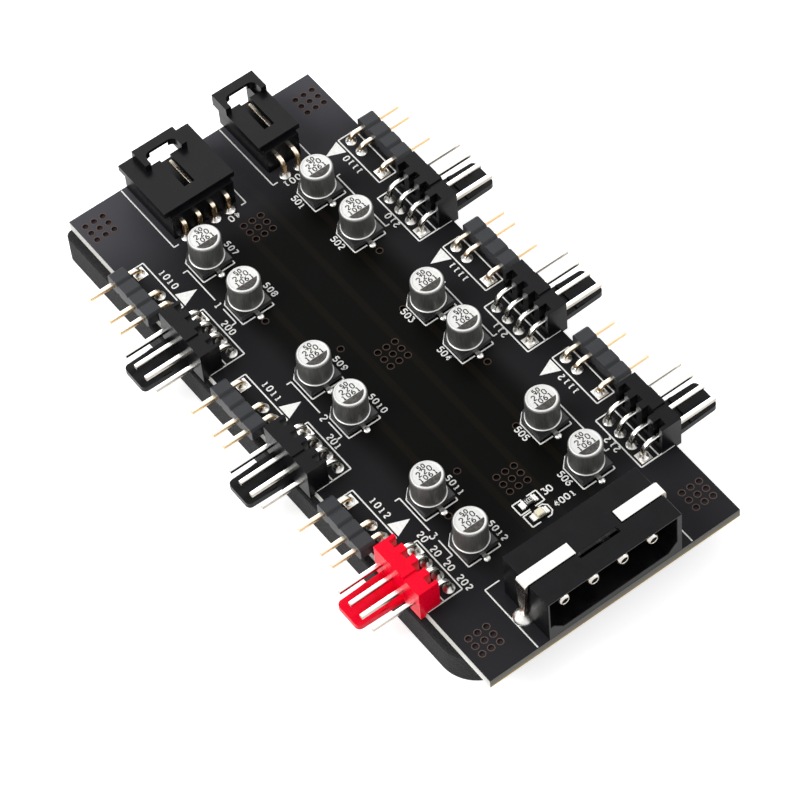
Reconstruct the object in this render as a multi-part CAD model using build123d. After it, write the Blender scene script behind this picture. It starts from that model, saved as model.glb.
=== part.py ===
"""Fan controller hub for a computer: a bare board on a foam pad, with headers along both long sides."""
import math
import os

from build123d import *

# Board and pad
BOARD_WIDTH = 43.3
BOARD_THICKNESS = 1.6
PAD_THICKNESS = 5.6
PAD_OVERHANG_LEFT = 1.2
PAD_INSET_RIGHT = 0.6
PAD_INSET_INPUT = 0.1
PAD_INSET_POWER = 3.4
PAD_RADIUS_INPUT = 1.2
PAD_RADIUS_POWER = 6.0

# Square pins of the headers and input sockets
PIN_PITCH = 2.54
PIN_SIZE = 0.64
PIN_POINT_LENGTH = 0.5
PIN_POINT_INSET = 0.18
LEAD_HOLE_GAP = 0.12
LEAD_END_GAP = 0.1

# Header rows: one lighting header and one fan header repeat along each long side
CHANNEL_COUNT = 3
CHANNEL_PITCH = 25.4
RGB_FROM_INPUT_PINS = 4.97
FAN_FROM_RGB = 12.26

# Lighting header, four positions, one of them blank
RGB_POSITIONS = 4
RGB_BLANK_INDEX = 2
RGB_HEIGHT = 2.5
RGB_NOTCH = 0.4
RGB_SEAT = 0.4
RGB_REACH = 2.2
RGB_LEFT_SHIFT = 0.3
RGB_PIN_Z = 1.25
RGB_PIN_TIP = 6.0
RGB_LEAD_OUT = 2.2
RGB_LEAD_BEND = 0.5

# Fan header, four positions, with a friction-lock tongue below the pins
FAN_POSITIONS = 4
FAN_LENGTH = 10.16
FAN_HEIGHT = 5.4
FAN_SEAT = 2.35
FAN_REACH = 1.05
FAN_CROWN_WIDTH = 3.2
FAN_CROWN_HEIGHT = 0.3
FAN_SLOT_WIDTH = 1.3
FAN_SLOT_DEPTH = 1.2
FAN_SLOT_FLOOR = 1.8
FAN_PIN_Z = 2.5
FAN_PIN_TIP = 8.1
FAN_LEAD_OUT = 2.35
FAN_LEAD_BEND = 0.9
FAN_EDGE_GAP = 0.15
TONGUE_PIN_INDEX = 2
TONGUE_ROOT_WIDTH = 5.4
TONGUE_TIP_WIDTH = 5.0
TONGUE_TIP = 8.75
TONGUE_TOP_Z = 0.4
TONGUE_THICKNESS = 1.0
TONGUE_RADIUS = 0.8
RAMP_START = 3.8
RAMP_LENGTH = 1.7
RAMP_HEIGHT = 0.35

# Input sockets at the low-X end
INPUT_COUNTS = (4, 2)
INPUT_FROM_CENTRE = (-6.05, 9.05)
INPUT_REACH = (-0.25, 0.85)
INPUT_END = 2.38
INPUT_DEPTH = 11.65
INPUT_HEIGHT = 5.8
INPUT_BODY_HEIGHT = 4.8
INPUT_ROOF_OVERHANG = 0.75
INPUT_WALL = 0.6
INPUT_FLOOR = 0.9
INPUT_BACK = 2.35
INPUT_STEP_DEPTH = 0.7
INPUT_PIN_Z = 3.1
INPUT_PIN_SETBACK = 2.3
INPUT_LEAD_OUT = 0.6
INPUT_LEAD_BEND = 0.35
LATCH_NOTCH_DEPTH = 3.05
LATCH_SLOT_WIDTH = 1.8
BRIDGE_DEPTH = 3.65
BRIDGE_HEIGHT = 1.3
BRIDGE_BAR = 1.6
BRIDGE_PLATE = 0.55
BRIDGE_LEG = 0.95
BRIDGE_RADIUS = 1.1

# Power inlet at the high-X end
POWER_COUNT = 4
POWER_PITCH = 5.08
POWER_WIDTH = 22.9
POWER_DEPTH = 9.9
POWER_HEIGHT = 8.8
POWER_WALL = 0.8
POWER_FLOOR = 1.25
POWER_ROOF = 1.0
POWER_LIP = 0.35
POWER_LIP_DEPTH = 2.4
POWER_BACK = 2.3
POWER_CHAMFER = 1.6
POWER_FROM_LAST_CHANNEL = 9.07
POWER_PIN_Z = 4.5
POWER_PIN_DIAMETER = 2.1
POWER_PIN_SETBACK = 1.25
POWER_PIN_CONE = 0.3
POWER_PIN_POINT = 1.7
POWER_TAIL_SIZE = 1.2
POWER_TAIL_OUT = 1.5
POWER_TAIL_BEND = 0.6
STRAP_WIDTH = 2.1
STRAP_THICKNESS = 0.5
STRAP_SETBACK = 4.1
STRAP_TOP_LENGTHS = (8.75, 7.7)
STRAP_BEND = 0.15
STRAP_LEG_TOP = 7.4
STRAP_LEG_FOOT = 1.6
STRAP_FOOT_WIDTH = 1.0
STRAP_SIDE_GAP = 0.2
STRAP_SEAT = 0.35
STRAP_SLACK = 0.1
ROOF_SLOT_LENGTH = 6.9
ROOF_SLOT_WIDTH = 0.9

# Capacitors, a pair beside each channel in two rows: places from the channel's lighting header
CAP_FROM_RGB = ((0.46, 10.12), (1.54, 10.14), (2.5, 12.16))
CAP_FROM_EDGE = 11.65
CAP_BASE_SIZE = 5.3
CAP_BASE_HEIGHT = 0.9
CAP_BASE_CHAMFER = 1.1
CAP_STANDOFF = 0.2
CAP_HEIGHT = 5.5
CAP_DIAMETER = 5.0
CAP_TAB_WIDTH = 0.7
CAP_TAB_INNER = 1.0
CAP_TAB_REACH = 0.75

# Chip parts on the centre line, from the back of the power inlet
CHIP_LENGTH = 2.0
CHIP_WIDTH = 1.25
RESISTOR_FROM_POWER = 9.37
RESISTOR_HEIGHT = 0.5
LAMP_FROM_POWER = 6.85
LAMP_BASE_HEIGHT = 0.35
LAMP_LENS_LENGTH = 1.2
LAMP_LENS_HEIGHT = 0.45

# Open vias, drawn with few sides because there are so many of them
VIA_DIAMETER = 1.0
VIA_SIDES = 8
VIA_PITCH = 1.524
VIA_SIDE_COUNT = 3
VIA_INPUT_CORNERS = ((3.8, 2.9), (4.4, 2.9))
VIA_POWER_CORNERS = ((5.6, 3.4), (5.6, 2.9))
VIA_MIDDLE_FROM_RGB = ((0.33, -0.85), (5.43, 0.65), (7.43, 0.65))
VIA_LEFT_FROM_CAP_ROW = ((0, 14.63, 0.05), (1, 0.03, 5.45), (2, 1.63, 5.55), (2, 6.73, 0.15))
VIA_RIGHT_FROM_CAP_ROW = ((0, 15.03, 0.15), (1, 0.03, -3.45), (1, 15.03, 0.15), (2, 0.83, -3.45))

# Worked out from the sizes above
INPUT_ROW = INPUT_DEPTH + INPUT_STEP_DEPTH - min(INPUT_REACH) + INPUT_LEAD_OUT
RGB_FIRST_X = INPUT_ROW + RGB_FROM_INPUT_PINS
FAN_LAST_X = RGB_FIRST_X + (CHANNEL_COUNT - 1) * CHANNEL_PITCH + FAN_FROM_RGB
POWER_BACK_X = FAN_LAST_X + POWER_FROM_LAST_CHANNEL
BOARD_LENGTH = POWER_BACK_X + POWER_DEPTH
BOARD_TOP = PAD_THICKNESS + BOARD_THICKNESS
HALF_LENGTH = BOARD_LENGTH / 2
HALF_WIDTH = BOARD_WIDTH / 2
RGB_ROW = RGB_SEAT + RGB_LEAD_OUT
FAN_ROW = FAN_SEAT + FAN_LEAD_OUT
POWER_ROW = POWER_DEPTH + POWER_TAIL_OUT
POWER_CAVITY = POWER_DEPTH - POWER_BACK
BRIDGE_WIDTH = PIN_PITCH + 2 * INPUT_END
LEAD_BOTTOM = LEAD_END_GAP - BOARD_THICKNESS


def block(x_range, y_range, z_range):
    """Box between pairs of limits."""
    sizes = [high - low for low, high in (x_range, y_range, z_range)]
    middle = [(low + high) / 2 for low, high in (x_range, y_range, z_range)]
    return Pos(*middle) * Box(*sizes)


def on_board(x, y):
    """Place on the board's top, measured from its low-X, low-Y corner."""
    return Pos(x - HALF_LENGTH, y - HALF_WIDTH, BOARD_TOP)


def pin_places(count, pitch):
    """Evenly pitched places about zero."""
    return [(index - (count - 1) / 2) * pitch for index in range(count)]


def bent_bar(x, start, row, height, bend, size):
    """Square bar that runs inwards from its start and turns down, by one short slope, into the board."""
    half = size / 2
    mitre = half * math.tan(math.pi / 8)
    outline = Polyline(
        (start, height + half),
        (bend - mitre - row, height + half),
        (-row - half, height - bend + mitre),
        (-row - half, LEAD_BOTTOM),
        (half - row, LEAD_BOTTOM),
        (half - row, height - bend - mitre),
        (bend + mitre - row, height - half),
        (start, height - half),
        close=True,
    )
    return extrude(Plane.YZ.offset(x - half) * make_face(outline), size)


def square_lead(x, tip, row, height, bend):
    """Square pin with a tapered tip, bent down to the board at its other end."""
    lead = bent_bar(x, tip, row, height, bend, PIN_SIZE)
    end = lead.faces().sort_by(Axis.Y)[-1]
    return chamfer(end.edges(), PIN_POINT_INSET, PIN_POINT_LENGTH, reference=end)


def rgb_places():
    """Filled positions of a lighting header."""
    places = pin_places(RGB_POSITIONS, PIN_PITCH)
    return [x for index, x in enumerate(places) if index != RGB_BLANK_INDEX]


def rgb_header():
    """Notched strip that lies on the board's edge, with its pins along +Y."""
    half = RGB_POSITIONS * PIN_PITCH / 2
    starts = [index * PIN_PITCH - half for index in range(RGB_POSITIONS)]
    lower = []
    for x in starts:
        lower += [(x, RGB_NOTCH), (x + RGB_NOTCH, 0), (x + PIN_PITCH - RGB_NOTCH, 0)]
    lower.append((half, RGB_NOTCH))
    upper = [(x, RGB_HEIGHT - z) for x, z in reversed(lower)]
    section = make_face(Polyline(*lower, *upper, close=True))
    strip = extrude(Plane.XZ.offset(-RGB_REACH) * section, RGB_SEAT + RGB_REACH, dir=(0, -1, 0))
    for x in rgb_places():
        strip -= Pos(x, 0, RGB_PIN_Z) * Box(PIN_SIZE, 4 * RGB_REACH, PIN_SIZE)
    return strip


def rgb_pins():
    return [square_lead(x, RGB_PIN_TIP, RGB_ROW, RGB_PIN_Z, RGB_LEAD_BEND) for x in rgb_places()]


def fan_header():
    """Slotted block with a tongue along +Y that locks the plug."""
    half = FAN_LENGTH / 2
    body = block((-half, half), (-FAN_SEAT, FAN_REACH), (0, FAN_HEIGHT))
    crown_top = FAN_HEIGHT + FAN_CROWN_HEIGHT
    crown_half = FAN_CROWN_WIDTH / 2
    body += block((-crown_half, crown_half), (-FAN_SEAT, FAN_REACH), (FAN_HEIGHT, crown_top))
    tongue_bottom = TONGUE_TOP_Z - TONGUE_THICKNESS
    body += block((-half, half), (FAN_EDGE_GAP, FAN_REACH), (tongue_bottom, TONGUE_TOP_Z))
    places = pin_places(FAN_POSITIONS, PIN_PITCH)
    tongue_x = places[TONGUE_PIN_INDEX]
    root = TONGUE_ROOT_WIDTH / 2
    tip = TONGUE_TIP_WIDTH / 2
    corners = ((-root, FAN_REACH), (-tip, TONGUE_TIP), (tip, TONGUE_TIP), (root, FAN_REACH))
    plate = make_face(Polyline(*corners, close=True))
    plate = fillet(plate.vertices().group_by(Axis.Y)[-1], TONGUE_RADIUS)
    body += Pos(tongue_x, 0, tongue_bottom) * extrude(plate, TONGUE_THICKNESS)
    ramp_side = make_face(
        Polyline(
            (RAMP_START, TONGUE_TOP_Z),
            (RAMP_START, TONGUE_TOP_Z + RAMP_HEIGHT),
            (RAMP_START + RAMP_LENGTH, TONGUE_TOP_Z),
            close=True,
        )
    )
    body += extrude(Plane.YZ.offset(tongue_x - tip) * ramp_side, TONGUE_TIP_WIDTH)
    for x in places:
        slot_sides = (x - FAN_SLOT_WIDTH / 2, x + FAN_SLOT_WIDTH / 2)
        body -= block(slot_sides, (-FAN_SEAT, FAN_SLOT_DEPTH - FAN_SEAT), (FAN_SLOT_FLOOR, crown_top))
        body -= Pos(x, 0, FAN_PIN_Z) * Box(PIN_SIZE, 4 * FAN_SEAT, PIN_SIZE)
    return body


def fan_pins():
    places = pin_places(FAN_POSITIONS, PIN_PITCH)
    return [square_lead(x, FAN_PIN_TIP, FAN_ROW, FAN_PIN_Z, FAN_LEAD_BEND) for x in places]


def input_socket(count, reach):
    """Shrouded socket open to +Y: a wider roof on its body, with a latch bridge over a notch in the roof."""
    half = (count - 1) * PIN_PITCH / 2 + INPUT_END
    body = half - INPUT_ROOF_OVERHANG
    inside = body - INPUT_WALL
    rear = reach - INPUT_DEPTH
    back = rear + INPUT_BACK
    roof = INPUT_BODY_HEIGHT
    shell = block((-body, body), (rear - INPUT_STEP_DEPTH, reach), (0, roof))
    shell -= block((-inside, inside), (back, reach), (INPUT_FLOOR, roof))
    shell += block((-half, half), (rear, reach), (roof, INPUT_HEIGHT))
    opening = BRIDGE_WIDTH / 2 - BRIDGE_LEG
    shell -= block((-opening, opening), (reach - LATCH_NOTCH_DEPTH, reach), (roof, INPUT_HEIGHT))
    slot = LATCH_SLOT_WIDTH / 2
    shell -= block((-slot, slot), (back, reach), (roof, INPUT_HEIGHT))
    at_back = (Align.CENTER, Align.MIN)
    window = fillet(
        Rectangle(2 * opening, BRIDGE_DEPTH - BRIDGE_BAR, align=at_back).vertices().group_by(Axis.Y)[-1],
        BRIDGE_RADIUS,
    )
    bridge = Rectangle(BRIDGE_WIDTH, BRIDGE_DEPTH, align=at_back) - window
    shell += Pos(0, reach - BRIDGE_DEPTH, INPUT_HEIGHT) * extrude(bridge, BRIDGE_HEIGHT)
    under_bar = (INPUT_HEIGHT, INPUT_HEIGHT + BRIDGE_HEIGHT - BRIDGE_PLATE)
    shell -= block((-opening, opening), (reach - BRIDGE_BAR, reach), under_bar)
    for x in pin_places(count, PIN_PITCH):
        shell -= Pos(x, back, INPUT_PIN_Z) * Box(PIN_SIZE, 2 * INPUT_DEPTH, PIN_SIZE)
    return shell


def input_pins(count, reach):
    tip = reach - INPUT_PIN_SETBACK
    places = pin_places(count, PIN_PITCH)
    return [square_lead(x, tip, INPUT_ROW, INPUT_PIN_Z, INPUT_LEAD_BEND) for x in places]


def power_socket():
    """Inlet shroud open to +Y, with chamfered lower corners inside, seats for the straps and a slot."""
    half = POWER_WIDTH / 2
    shell = block((-half, half), (-POWER_DEPTH, 0), (0, POWER_HEIGHT))
    inside = half - POWER_WALL
    floor = POWER_FLOOR
    roof = POWER_HEIGHT - POWER_ROOF
    mouth = make_face(
        Polyline(
            (-inside, roof),
            (-inside, floor + POWER_CHAMFER),
            (POWER_CHAMFER - inside, floor),
            (inside - POWER_CHAMFER, floor),
            (inside, floor + POWER_CHAMFER),
            (inside, roof),
            close=True,
        )
    )
    shell -= extrude(Plane.XZ * mouth, POWER_CAVITY, dir=(0, -1, 0))
    lip_sides = (-inside, half - POWER_LIP)
    shell -= block(lip_sides, (-POWER_LIP_DEPTH, 0), (floor + POWER_CHAMFER, POWER_HEIGHT - POWER_LIP))
    seat_y = (-STRAP_SETBACK - STRAP_WIDTH - STRAP_SLACK, STRAP_SLACK - STRAP_SETBACK)
    left, right = (strap_inner(length) - STRAP_SLACK for length in STRAP_TOP_LENGTHS)
    for seat_x in ((left, half), (-half, -right)):
        shell -= block(seat_x, seat_y, (POWER_HEIGHT - STRAP_SEAT, POWER_HEIGHT))
    slot_half = ROOF_SLOT_LENGTH / 2
    slot_y = (STRAP_SLACK - STRAP_SETBACK, STRAP_SLACK - STRAP_SETBACK + ROOF_SLOT_WIDTH)
    shell -= block((-slot_half, slot_half), slot_y, (roof, POWER_HEIGHT))
    for x in pin_places(POWER_COUNT, POWER_PITCH):
        shell -= Pos(x, -POWER_DEPTH, POWER_PIN_Z) * Box(POWER_TAIL_SIZE, POWER_DEPTH, POWER_TAIL_SIZE)
    return shell


def power_pins():
    """Round pins with a coned tip, each on a square bar that goes through the back and bends down."""
    radius = POWER_PIN_DIAMETER / 2
    back = -POWER_CAVITY
    front = -POWER_PIN_SETBACK
    turned = make_face(
        Polyline(
            (0, back),
            (radius, back),
            (radius, front - POWER_PIN_CONE),
            (POWER_PIN_POINT / 2, front),
            (0, front),
            close=True,
        )
    )
    post = Pos(0, 0, POWER_PIN_Z) * revolve(turned, Axis.Y)
    pin = post + bent_bar(0, back, POWER_ROW, POWER_PIN_Z, POWER_TAIL_BEND, POWER_TAIL_SIZE)
    return [Pos(x, 0, 0) * pin for x in pin_places(POWER_COUNT, POWER_PITCH)]


def strap_leg():
    """Middle of a strap's leg, from the inlet's centre."""
    return POWER_WIDTH / 2 + STRAP_SIDE_GAP + STRAP_THICKNESS / 2


def strap_inner(length):
    """Inner end of a strap's top, from the inlet's centre."""
    return strap_leg() + STRAP_THICKNESS / 2 - length


def power_strap(length):
    """Flat strap over the inlet's end, bent down and narrowed where it goes through the board."""
    top = POWER_HEIGHT - STRAP_SEAT + STRAP_THICKNESS / 2
    leg = strap_leg()
    radius = STRAP_BEND + STRAP_THICKNESS / 2
    path = FilletPolyline((strap_inner(length), top), (leg, top), (leg, STRAP_LEG_TOP), radius=radius)
    side = Plane.XZ.offset(STRAP_SETBACK) * trace(path, STRAP_THICKNESS)
    strap = extrude(side, STRAP_WIDTH, dir=(0, -1, 0))
    middle = -STRAP_SETBACK - STRAP_WIDTH / 2
    wide = STRAP_WIDTH / 2
    narrow = STRAP_FOOT_WIDTH / 2
    outline = Polyline(
        (middle - wide, STRAP_LEG_TOP),
        (middle - narrow, STRAP_LEG_FOOT),
        (middle - narrow, LEAD_BOTTOM),
        (middle + narrow, LEAD_BOTTOM),
        (middle + narrow, STRAP_LEG_FOOT),
        (middle + wide, STRAP_LEG_TOP),
        close=True,
    )
    return strap + extrude(Plane.YZ.offset(leg - STRAP_THICKNESS / 2) * make_face(outline), STRAP_THICKNESS)


def power_straps():
    left, right = STRAP_TOP_LENGTHS
    return [power_strap(left), mirror(power_strap(right), Plane.YZ)]


def capacitor_base():
    half = CAP_BASE_SIZE / 2
    plate = Rectangle(CAP_BASE_SIZE, CAP_BASE_SIZE)
    plate = chamfer(plate.vertices().group_by(Axis.X)[0], CAP_BASE_CHAMFER)
    base = Pos(0, 0, CAP_STANDOFF) * extrude(plate, CAP_BASE_HEIGHT)
    for side in (-1, 1):
        reach = sorted((side * CAP_TAB_INNER, side * half))
        base += block(reach, (CAP_TAB_WIDTH / 2, half - CAP_BASE_CHAMFER), (0, CAP_STANDOFF))
        base += block(reach, (CAP_BASE_CHAMFER - half, -CAP_TAB_WIDTH / 2), (0, CAP_STANDOFF))
    return base


def capacitor_can():
    foot = CAP_STANDOFF + CAP_BASE_HEIGHT
    return Pos(0, 0, foot) * extrude(Circle(CAP_DIAMETER / 2), CAP_HEIGHT - foot)


def capacitor_tabs():
    """Two flat terminals under the base, standing out at its low-X and high-X sides."""
    outer = CAP_BASE_SIZE / 2 + CAP_TAB_REACH
    width = (-CAP_TAB_WIDTH / 2, CAP_TAB_WIDTH / 2)
    return [block(sorted((side * CAP_TAB_INNER, side * outer)), width, (0, CAP_STANDOFF)) for side in (-1, 1)]


def resistor():
    return Pos(0, 0, RESISTOR_HEIGHT / 2) * Box(CHIP_WIDTH, CHIP_LENGTH, RESISTOR_HEIGHT)


def lamp():
    """Chip lamp: a flat carrier with a lens block on it."""
    top = LAMP_BASE_HEIGHT + LAMP_LENS_HEIGHT
    carrier = Pos(0, 0, LAMP_BASE_HEIGHT / 2) * Box(CHIP_WIDTH, CHIP_LENGTH, LAMP_BASE_HEIGHT)
    return carrier + Pos(0, 0, top / 2) * Box(CHIP_WIDTH, LAMP_LENS_LENGTH, top)


def foam_pad():
    low_x = PAD_INSET_INPUT - HALF_LENGTH
    high_x = HALF_LENGTH - PAD_INSET_POWER
    low_y = -HALF_WIDTH - PAD_OVERHANG_LEFT
    high_y = HALF_WIDTH - PAD_INSET_RIGHT
    sheet = Pos((low_x + high_x) / 2, (low_y + high_y) / 2) * Rectangle(high_x - low_x, high_y - low_y)
    sheet = fillet(sheet.vertices().group_by(Axis.X)[0], PAD_RADIUS_INPUT)
    sheet = fillet(sheet.vertices().group_by(Axis.X)[-1], PAD_RADIUS_POWER)
    return extrude(sheet, PAD_THICKNESS)


def channel_x(channel):
    """Centre of a channel's lighting header along the board."""
    return RGB_FIRST_X + channel * CHANNEL_PITCH


def header_places(from_rgb):
    """Name and placement of one kind of header along both long sides."""
    places = []
    for channel in range(CHANNEL_COUNT):
        x = channel_x(channel) + from_rgb
        places.append((f"left_{channel + 1}", on_board(x, 0) * Rot(0, 0, 180)))
        places.append((f"right_{channel + 1}", on_board(x, BOARD_WIDTH)))
    return places


def via_places():
    """Places of all the open vias: clusters at the corners and on the centre line, and single ones."""
    (left_x, left_y), (right_x, right_y) = VIA_INPUT_CORNERS
    clusters = [(left_x, left_y), (right_x, BOARD_WIDTH - right_y)]
    (left_x, left_y), (right_x, right_y) = VIA_POWER_CORNERS
    clusters += [(BOARD_LENGTH - left_x, left_y), (BOARD_LENGTH - right_x, BOARD_WIDTH - right_y)]
    for channel, (from_rgb, from_centre) in enumerate(VIA_MIDDLE_FROM_RGB):
        clusters.append((channel_x(channel) + from_rgb, HALF_WIDTH + from_centre))
    steps = pin_places(VIA_SIDE_COUNT, VIA_PITCH)
    places = [(x + along, y + across) for x, y in clusters for along in steps for across in steps]
    for channel, from_rgb, from_row in VIA_LEFT_FROM_CAP_ROW:
        places.append((channel_x(channel) + from_rgb, CAP_FROM_EDGE + from_row))
    for channel, from_rgb, from_row in VIA_RIGHT_FROM_CAP_ROW:
        places.append((channel_x(channel) + from_rgb, BOARD_WIDTH - CAP_FROM_EDGE + from_row))
    return places


def circuit_board(lead_places):
    """Board with a hole for each lead and strap, and the open vias."""
    board = Pos(0, 0, PAD_THICKNESS + BOARD_THICKNESS / 2) * Box(BOARD_LENGTH, BOARD_WIDTH, BOARD_THICKNESS)
    depth = 4 * BOARD_THICKNESS
    cuts = []
    for place, length, width in lead_places:
        cuts.append(place * Box(length + 2 * LEAD_HOLE_GAP, width + 2 * LEAD_HOLE_GAP, depth))
    via = extrude(RegularPolygon(VIA_DIAMETER / 2, VIA_SIDES), depth / 2, both=True)
    cuts += [on_board(x, y) * via for x, y in via_places()]
    return board - cuts


def save(name, solids):
    """Write one node."""
    export_step(Compound(children=list(solids)), f"parts/{name}.step")


os.makedirs("parts", exist_ok=True)
leads = []

for name, place in header_places(0):
    shift = RGB_LEFT_SHIFT if name.startswith("left") else 0
    save(f"rgb_header_{name}", [place * Pos(0, -shift, 0) * rgb_header()])
    save(f"rgb_pins_{name}", [place * pin for pin in rgb_pins()])
    leads += [(place * Pos(x, -RGB_ROW, 0), PIN_SIZE, PIN_SIZE) for x in rgb_places()]

for name, place in header_places(FAN_FROM_RGB):
    save(f"fan_header_{name}", [place * fan_header()])
    save(f"fan_pins_{name}", [place * pin for pin in fan_pins()])
    leads += [(place * Pos(x, -FAN_ROW, 0), PIN_SIZE, PIN_SIZE) for x in pin_places(FAN_POSITIONS, PIN_PITCH)]

for count, from_centre, reach in zip(INPUT_COUNTS, INPUT_FROM_CENTRE, INPUT_REACH):
    place = on_board(0, HALF_WIDTH + from_centre) * Rot(0, 0, 90)
    save(f"input_socket_{count}_way", [place * input_socket(count, reach)])
    save(f"input_pins_{count}_way", [place * pin for pin in input_pins(count, reach)])
    leads += [(place * Pos(x, -INPUT_ROW, 0), PIN_SIZE, PIN_SIZE) for x in pin_places(count, PIN_PITCH)]

place = on_board(BOARD_LENGTH, HALF_WIDTH) * Rot(0, 0, -90)
save("power_socket", [place * power_socket()])
save("power_pins", [place * pin for pin in power_pins()])
save("power_straps", [place * strap for strap in power_straps()])
for x in pin_places(POWER_COUNT, POWER_PITCH):
    leads.append((place * Pos(x, -POWER_ROW, 0), POWER_TAIL_SIZE, POWER_TAIL_SIZE))
for x in (-strap_leg(), strap_leg()):
    leads.append((place * Pos(x, -STRAP_SETBACK - STRAP_WIDTH / 2, 0), STRAP_THICKNESS, STRAP_FOOT_WIDTH))

cap_rows = (BOARD_WIDTH - CAP_FROM_EDGE, CAP_FROM_EDGE)
cap_x = [channel_x(channel) + offset for channel, pair in enumerate(CAP_FROM_RGB) for offset in pair]
cap_places = [on_board(x, y) for y in cap_rows for x in cap_x]
for number, place in enumerate(cap_places, 1):
    save(f"capacitor_can_{number}", [place * capacitor_can()])
    save(f"capacitor_base_{number}", [place * capacitor_base()])
save("capacitor_terminals", [place * tab for place in cap_places for tab in capacitor_tabs()])

save("resistor", [on_board(POWER_BACK_X - RESISTOR_FROM_POWER, HALF_WIDTH) * resistor()])
save("lamp", [on_board(POWER_BACK_X - LAMP_FROM_POWER, HALF_WIDTH) * lamp()])
save("foam_pad", [foam_pad()])
save("circuit_board", [circuit_board(leads)])
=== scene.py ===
import math

import bmesh
import bpy
from mathutils import Matrix, Vector


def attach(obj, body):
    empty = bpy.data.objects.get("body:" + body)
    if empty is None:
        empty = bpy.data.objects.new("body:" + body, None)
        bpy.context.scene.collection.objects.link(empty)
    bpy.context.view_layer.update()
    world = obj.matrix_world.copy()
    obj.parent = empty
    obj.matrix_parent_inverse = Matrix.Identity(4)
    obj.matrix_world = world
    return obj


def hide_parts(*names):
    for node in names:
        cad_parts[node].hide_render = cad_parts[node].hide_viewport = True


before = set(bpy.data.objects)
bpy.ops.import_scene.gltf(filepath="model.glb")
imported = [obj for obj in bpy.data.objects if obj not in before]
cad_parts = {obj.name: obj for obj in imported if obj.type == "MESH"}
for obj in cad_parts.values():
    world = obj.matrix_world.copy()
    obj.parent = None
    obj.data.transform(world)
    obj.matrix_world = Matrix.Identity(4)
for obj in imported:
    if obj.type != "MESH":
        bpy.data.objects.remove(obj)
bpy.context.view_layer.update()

# Circuit board: one sheet of glass-epoxy laminate under black solder mask, routed to size.
# The mask hides copper areas that show only as faint lengthwise bands; the routed edge is bare laminate.
MM = 0.001
BOARD_LENGTH = 100.2
BOARD_WIDTH = 43.3
BOARD_TOP = 7.2
BOARD_THICKNESS = 1.6
PAINTED_SHEEN_FROM = 28
COLOURS = {"data_type": "RGBA"}
SMOOTH = {"interpolation_type": "SMOOTHSTEP"}


def linear(code):
    """Linear colour of an sRGB hex value."""
    parts = [int(code[at:at + 2], 16) / 255 for at in (1, 3, 5)]
    return [c / 12.92 if c <= 0.04045 else ((c + 0.055) / 1.055) ** 2.4 for c in parts] + [1.0]


def connect(tree, node, links):
    """Set a node's inputs to plain values or hex colours, or link them to outputs.
    A node given for an input stands for its first live output."""
    for name, value in links.items():
        if isinstance(value, bpy.types.Node):
            value = next(output for output in value.outputs if output.enabled)
        if isinstance(value, bpy.types.NodeSocket):
            tree.links.new(value, node.inputs[name])
        else:
            node.inputs[name].default_value = linear(value) if isinstance(value, str) else value


def add(tree, kind, settings=None, links=None):
    """Add a node, set its properties, then its inputs."""
    node = tree.nodes.new(kind)
    for name, value in (settings or {}).items():
        setattr(node, name, value)
    connect(tree, node, links or {})
    return node


def new_finish(name, values):
    """A material with one shader, whose plain values are set on the shader's own sockets."""
    finish = bpy.data.materials.new(name)
    finish.use_nodes = True
    tree = finish.node_tree
    shader = tree.nodes["Principled BSDF"]
    connect(tree, shader, values)
    return finish, tree, shader


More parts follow.
